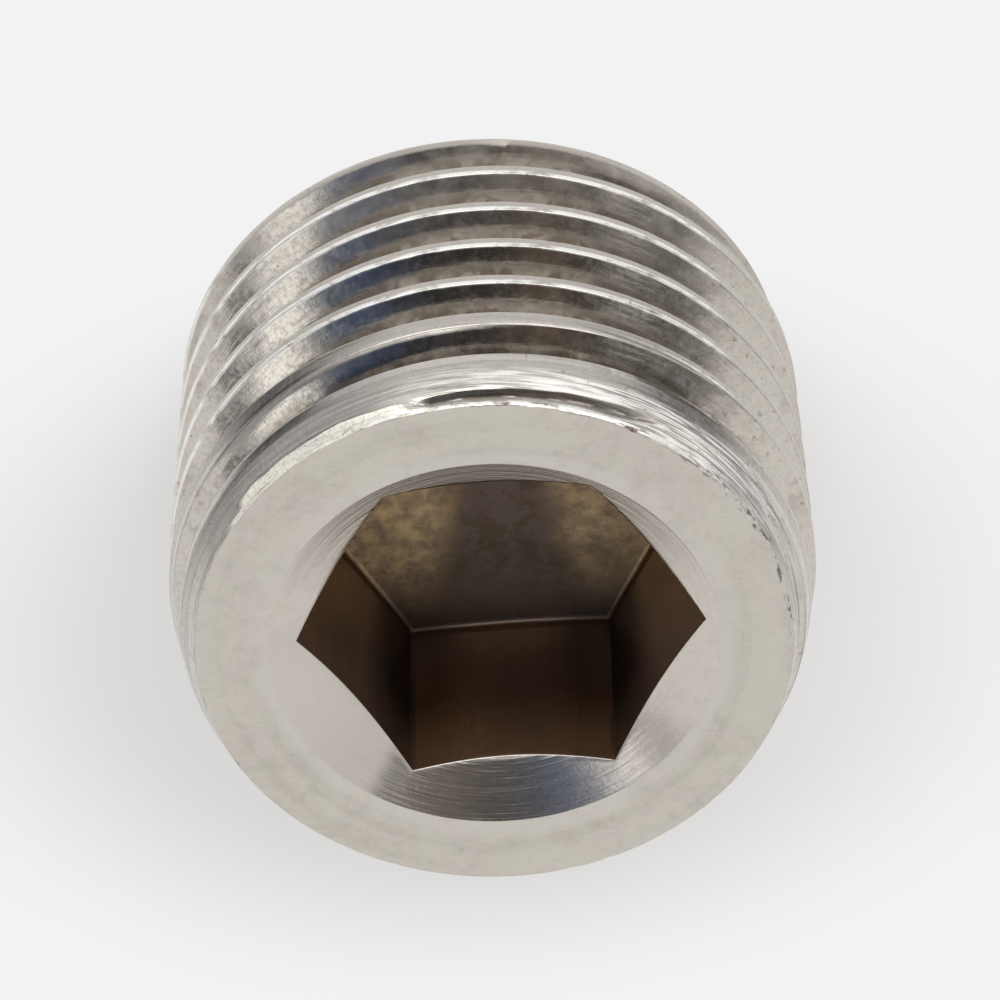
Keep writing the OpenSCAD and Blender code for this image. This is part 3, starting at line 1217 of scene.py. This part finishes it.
def floor_material(studio):
    """A pale matt floor that keeps its shadow near the plug and is the backdrop further off."""
    material = bpy.data.materials.new("pale_floor")
    tree = Tree(emptied(material))
    plain = tree.add("ShaderNodeBsdfDiffuse", None, {"Color": (*studio.floor_colour, 1.0)})
    camera_ray, glossy_ray, clear_ray = (
        tree.add("ShaderNodeLightPath", output=f"Is {kind} Ray")
        for kind in ("Camera", "Glossy", "Transmission"))
    x, y, _ = tree.split(tree.millimetres())
    away = ((x - SHADOW_X) * 0.85).reach((y - SHADOW_Y) * 1.15)
    share = away.ramp(*SHADOW_FADE, studio.floor_glow, studio.far_glow)
    # Painted reflection: glossy rays see two dark flag patches on the floor.
    flag = glossy_ray * painted_flag_share(tree, x, y) * studio.painted_flag_share
    seen = camera_ray.most(glossy_ray).most(clear_ray) * share
    colour_seen = tree.blend(flag, BACKDROP, PAINTED_FLAG_TONE)
    glow = tree.add("ShaderNodeEmission", None, {"Color": colour_seen, "Strength": 1.0})
    mixed = tree.add("ShaderNodeMixShader", None, {0: seen.most(flag), 1: plain, 2: glow})
    tree.node("ShaderNodeOutputMaterial", None, {"Surface": mixed})
    return material


def add_floor(studio):
    half = studio.floor_size / 2
    mesh = bpy.data.meshes.new("floor")
    mesh.from_pydata([(-half, -half, 0), (half, -half, 0), (half, half, 0), (-half, half, 0)],
                     [], [(0, 1, 2, 3)])
    mesh.materials.append(floor_material(studio))
    floor = placed("floor", mesh)


def room_walls():
    """Stops of the room's brightness at eye level, by azimuth from -90 to 90 degrees."""
    seen = ((-60, (0.42, 0.42, 0.42)), (-44, (0.4, 0.4, 0.4)), (-30, (0.2, 0.23, 0.28)),
            (-22, (0.09, 0.13, 0.24)), (-15, (0.07, 0.085, 0.13)), (-8, (0.055, 0.055, 0.055)),
            (5, (0.06, 0.057, 0.053)), (9, (0.1, 0.088, 0.075)), (14, (0.2, 0.155, 0.125)),
            (19, (0.1, 0.085, 0.075)), (26, (0.07, 0.066, 0.062)),
            (33, (0.16, 0.155, 0.15)), (60, (0.4, 0.395, 0.385)))
    return [((azimuth + 90) / 180, (*light, 1.0)) for azimuth, light in seen]


def room_light(tree, studio):
    """A table below, dim walls with one window in front, and a bright ceiling with a strip."""
    x, y, z = tree.split(tree.add("ShaderNodeTexCoord", output="Generated"))
    cosine, sine = math.cos(studio.room_turn), math.sin(studio.room_turn)
    right = y * sine - x * cosine
    up = -(x * sine + y * cosine)
    height = up.math("ARCSINE").math("DEGREES")
    azimuth = right.math("ARCTAN2", z).math("DEGREES")
    walls = tree.add("ShaderNodeValToRGB", {"stops": room_walls()},
                     {"Fac": (azimuth + 90.0) / 180.0})
    window = azimuth.band(-40.0, -36.5, -30.0, -26.0)
    window = window * height.band(-5.0, -1.0, 10.0, 15.0)
    spot = ((azimuth + 40.5).power(2.0) + (height + 6.0).power(2.0)).ramp(30.0, 12.0)
    side = azimuth.ramp(22.0, 29.0) * height.ramp(8.0, 12.0)
    strip = height.ramp(48.0, 54.0) * z.band(0.04, 0.12, 0.6, 0.72)
    light = tree.blend(height.ramp(-6.0, 2.0), tone(0.88, 0.865, 0.845), walls)
    for share, seen in ((side, tone(0.6, 0.59, 0.57)), (window, tone(1.6, 1.6, 1.55)),
                        (spot, tone(0.13, 0.13, 0.13)),
                        (height.ramp(33.0, 44.0), tone(0.95, 0.95, 0.95)),
                        (strip, tone(1.9, 1.9, 1.86))):
        light = tree.blend(share, light, seen)
    return light


def add_world(scene, studio):
    """The room that the steel mirrors, behind a plain backdrop for the camera."""
    world = bpy.data.worlds.new("studio")
    scene.world = world
    tree = Tree(emptied(world))
    camera_ray = tree.add("ShaderNodeLightPath", output="Is Camera Ray")
    shown = tree.blend(camera_ray, room_light(tree, studio), BACKDROP)
    sky = tree.add("ShaderNodeBackground", None, {"Color": shown, "Strength": 1.0})
    tree.node("ShaderNodeOutputWorld", None, {"Surface": sky})


def add_lamp(studio):
    """One soft lamp, up in front of the plug. The steel doesn't mirror it."""
    data = bpy.data.lights.new("key_lamp", "AREA")
    data.shape = "RECTANGLE"
    data.size, data.size_y = studio.key_size, studio.key_size * KEY_ASPECT
    data.energy = studio.key_power
    lamp = placed("key_lamp", data)
    lamp.visible_glossy = False
    lamp.matrix_world = aimed(KEY_PLACE, PLUG_MIDDLE)


class PLUG_OT_build_studio(bpy.types.Operator):
    """Builds the camera, the floor, the room and the lamp"""

    bl_idname = "plug.build_studio"
    bl_label = "Build studio"

    def execute(self, context):
        scene = context.scene
        studio = scene.plug_studio
        scene.view_settings.view_transform = "Standard"
        add_camera(scene, studio)
        add_floor(studio)
        add_world(scene, studio)
        add_lamp(studio)
        return {"FINISHED"}


class PLUG_PT_sidebar(bpy.types.Panel):
    """Lists the plug's and the studio's sizes"""

    bl_idname = "PLUG_PT_sidebar"
    bl_label = "Pipe plug"
    bl_space_type = "VIEW_3D"
    bl_region_type = "UI"
    bl_category = "Pipe plug"

    def draw(self, context):
        layout = self.layout
        for group in (context.scene.plug_sizes, context.scene.plug_studio):
            box = layout.box()
            for name in group.__annotations__:
                box.prop(group, name)
        layout.operator(PLUG_OT_build_studio.bl_idname)
        layout.operator(PLUG_OT_build_plug.bl_idname)


CLASSES = (PlugSizes, StudioSizes, PLUG_OT_build_plug, PLUG_OT_build_studio, PLUG_PT_sidebar)


def register():
    for kind in CLASSES:
        bpy.utils.register_class(kind)
    bpy.types.Scene.plug_sizes = bpy.props.PointerProperty(type=PlugSizes)
    bpy.types.Scene.plug_studio = bpy.props.PointerProperty(type=StudioSizes)


def unregister():
    del bpy.types.Scene.plug_studio
    del bpy.types.Scene.plug_sizes
    for kind in reversed(CLASSES):
        bpy.utils.unregister_class(kind)


def main():
    register()
    bpy.ops.plug.build_studio()
    bpy.ops.plug.build_plug()


if __name__ == "__main__":
    main()
